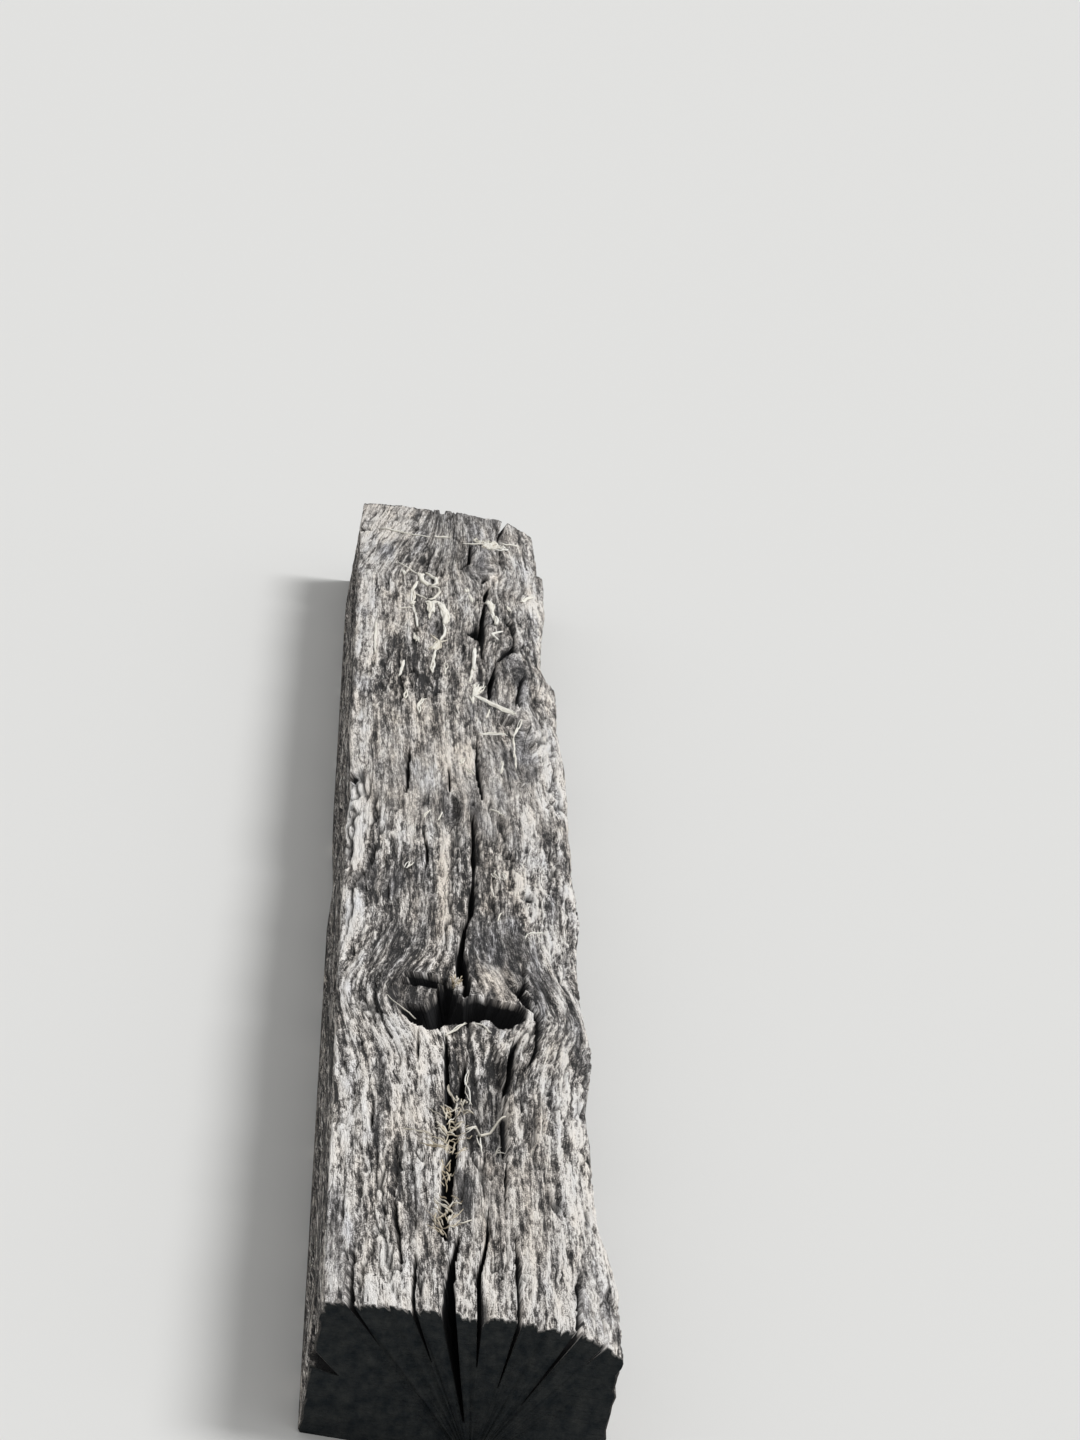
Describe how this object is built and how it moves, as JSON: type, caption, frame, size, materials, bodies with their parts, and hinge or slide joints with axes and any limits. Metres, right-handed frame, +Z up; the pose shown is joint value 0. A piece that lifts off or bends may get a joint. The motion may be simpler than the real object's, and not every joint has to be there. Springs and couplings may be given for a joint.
{
  "type": "railway sleeper",
  "caption": "Old sawn timber railway sleeper, a rectangular baulk weathered silver-grey, with drying checks, a rotted knot hole and worn arrises.",
  "frame": {"origin": "middle of the bounding box, at the level of the bed face it lies on", "axes": "+X along the grain to the rotten far end, +Y across to the straighter long edge, +Z up out of the weathered top"},
  "size_m": [2.59, 0.254, 0.127],
  "materials": {
    "weathered_timber": "bare weathered grey timber, dark old preservative on the sawn ends"
  },
  "bodies": {
    "root": {"sleeper": "weathered_timber"}
  },
  "joints": []
}
